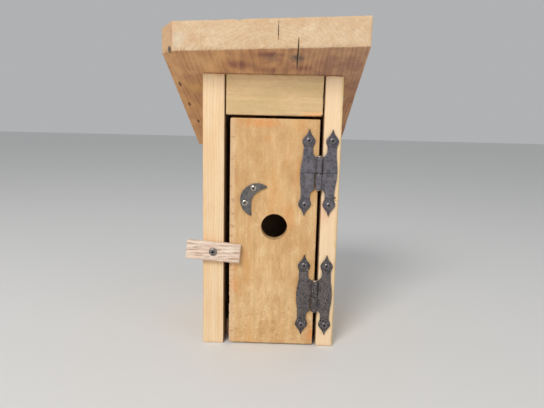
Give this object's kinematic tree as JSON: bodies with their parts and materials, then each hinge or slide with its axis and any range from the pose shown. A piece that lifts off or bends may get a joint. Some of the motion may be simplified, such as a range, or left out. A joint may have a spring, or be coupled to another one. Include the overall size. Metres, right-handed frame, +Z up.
{
  "type": "birdhouse",
  "caption": "Board birdhouse with a sloping roof, a round entrance hole in a side-hinged front door, and a wooden turn button that holds the door shut.",
  "frame": {"origin": "middle of the base, on the underside of the floor board", "axes": "+Z up, +X to the right as seen from the front, +Y from the front towards the back; the door faces -Y"},
  "size_m": [0.1998, 0.2159, 0.347],
  "materials": {
    "wall_pine": "bare sawn pine, pale, with vertical grain",
    "header_pine": "bare rough-sawn board with horizontal grain and saw lines",
    "roof_pine": "bare rough-sawn board, pale sawn end face and browner underside",
    "door_pine": "bare honey-coloured board, blotchy, with faint vertical grain",
    "button_wood": "weathered whitish wood with wavy grain",
    "hinge_iron": "hammered black iron, satin",
    "moon_iron": "hammered slate-grey iron, satin",
    "pin_steel": "bright riveted steel",
    "hinge_screw_steel": "blackened steel with worn bright edges",
    "moon_screw_steel": "grey steel, bright rim",
    "button_screw_steel": "dark steel, lightly rusted",
    "board_screw_steel": "dull zinc-plated steel"
  },
  "bodies": {
    "house": {"left_side_wall": "wall_pine", "right_side_wall": "wall_pine", "back_wall": "wall_pine", "floor_board": "wall_pine", "header": "header_pine", "roof_slab": "roof_pine", "turn_button_screw": "button_screw_steel", "upper_hinge_frame_leaf": "hinge_iron", "upper_hinge_pin": "pin_steel", "upper_hinge_frame_screw_top": "hinge_screw_steel", "upper_hinge_frame_screw_bottom": "hinge_screw_steel", "lower_hinge_frame_leaf": "hinge_iron", "lower_hinge_pin": "pin_steel", "lower_hinge_frame_screw_top": "hinge_screw_steel", "lower_hinge_frame_screw_bottom": "hinge_screw_steel", "back_wall_screw_low_left": "board_screw_steel", "back_wall_screw_high_left": "board_screw_steel", "back_wall_screw_low_right": "board_screw_steel", "back_wall_screw_high_right": "board_screw_steel", "floor_screw_front_left": "board_screw_steel", "floor_screw_rear_left": "board_screw_steel", "floor_screw_front_right": "board_screw_steel", "floor_screw_rear_right": "board_screw_steel", "header_screw_left": "board_screw_steel", "header_screw_right": "board_screw_steel", "roof_screw_front_left": "board_screw_steel", "roof_screw_rear_left": "board_screw_steel", "roof_screw_front_right": "board_screw_steel", "roof_screw_rear_right": "board_screw_steel"},
    "door": {"door": "door_pine", "moon_plate": "moon_iron", "moon_screw_upper": "moon_screw_steel", "moon_screw_lower": "moon_screw_steel", "upper_hinge_door_leaf": "hinge_iron", "upper_hinge_door_screw_top": "hinge_screw_steel", "upper_hinge_door_screw_bottom": "hinge_screw_steel", "lower_hinge_door_leaf": "hinge_iron", "lower_hinge_door_screw_top": "hinge_screw_steel", "lower_hinge_door_screw_bottom": "hinge_screw_steel"},
    "turn_button": {"turn_button": "button_wood"}
  },
  "joints": [
    {"name": "door_swing", "type": "hinge", "parent": "house", "child": "door", "pos_m": [0.0506, -0.074, 0.1283], "axis": [0, 0, 1], "range_deg": [0, 175]},
    {"name": "button_turn", "type": "hinge", "parent": "house", "child": "turn_button", "pos_m": [-0.061, -0.0737, 0.1086], "axis": [0, 1, 0], "continuous": true}
  ]
}
